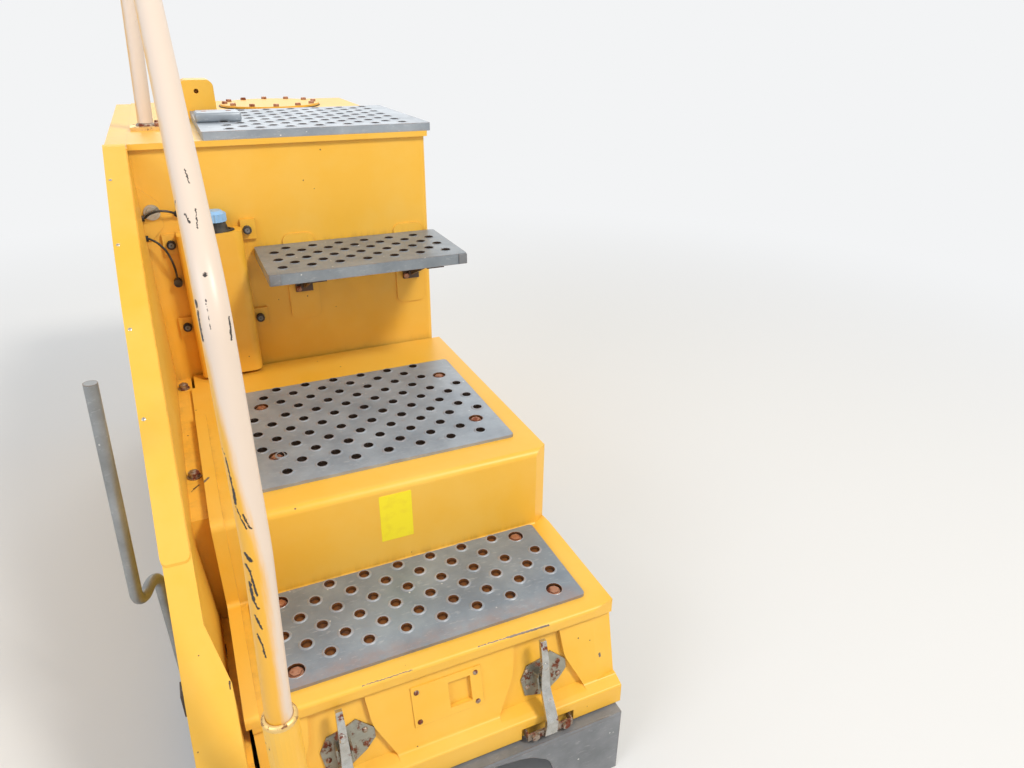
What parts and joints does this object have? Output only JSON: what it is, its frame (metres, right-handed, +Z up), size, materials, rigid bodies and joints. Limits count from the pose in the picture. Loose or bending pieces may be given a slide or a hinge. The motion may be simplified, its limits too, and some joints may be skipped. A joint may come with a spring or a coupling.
{
  "type": "front access steps with storage box and tank of a crawler excavator",
  "caption": "Stepped access unit: hinged step cover over a bin, tank with top tread, cantilevered step, handrail and side casing on a base frame",
  "frame": {"origin": "centre of the four base bolt holes, on the underside of the base frame", "axes": "+Z up, +Y from the lowest step back along the unit, +X to the right as seen by a person who climbs the steps"},
  "size_m": [0.7696, 1.998, 1.6765],
  "materials": {
    "yellow_paint": "worn yellow paint",
    "grey_paint": "worn mid-grey paint",
    "tread_grey": "worn grey anti-slip plate with rusty hole rims",
    "rail_paint": "bleached yellow paint with dark scratches",
    "zinc": "dull zinc with rust",
    "dark_steel": "rusty dark steel",
    "black_rubber": "dull black rubber",
    "blue_plastic": "dull blue plastic",
    "black_plastic": "dull black plastic"
  },
  "bodies": {
    "unit": {"base_deck": "grey_paint", "side_rails": "grey_paint", "cross_plates": "grey_paint", "front_sill": "yellow_paint", "storage_bin": "grey_paint", "hinge_brackets": "zinc", "hinge_pins": "zinc", "latch_keepers": "zinc", "tank_box": "yellow_paint", "tank_rim": "yellow_paint", "top_tread": "tread_grey", "inspection_cover": "yellow_paint", "filler_block": "yellow_paint", "cantilever_step": "tread_grey", "step_brackets": "dark_steel", "bottle_cover": "yellow_paint", "bottle_neck": "black_rubber", "bottle_cap": "blue_plastic", "plug_tabs": "yellow_paint", "plugs": "black_rubber", "tank_plug": "zinc", "side_casing": "yellow_paint", "side_strip": "yellow_paint", "side_shelf": "yellow_paint", "shelf_bolts": "zinc", "handrail": "rail_paint", "handrail_socket": "yellow_paint", "rail_foot": "rail_paint", "grab_rod": "zinc", "rod_lug": "dark_steel", "upper_cable": "black_plastic", "lower_cable": "black_plastic", "cable_glands": "black_rubber"},
    "cover": {"step_cover": "yellow_paint", "cover_hinge_leaves": "yellow_paint", "lower_tread": "tread_grey", "middle_tread": "tread_grey", "tread_bolts": "tread_grey", "latch_plates": "zinc", "latch_levers": "zinc", "front_plate": "yellow_paint"}
  },
  "joints": [
    {"name": "cover_hinge", "type": "hinge", "parent": "unit", "child": "cover", "pos_m": [0, -0.04, 0.51], "axis": [-1, 0, 0], "range_deg": [0, 45]}
  ]
}
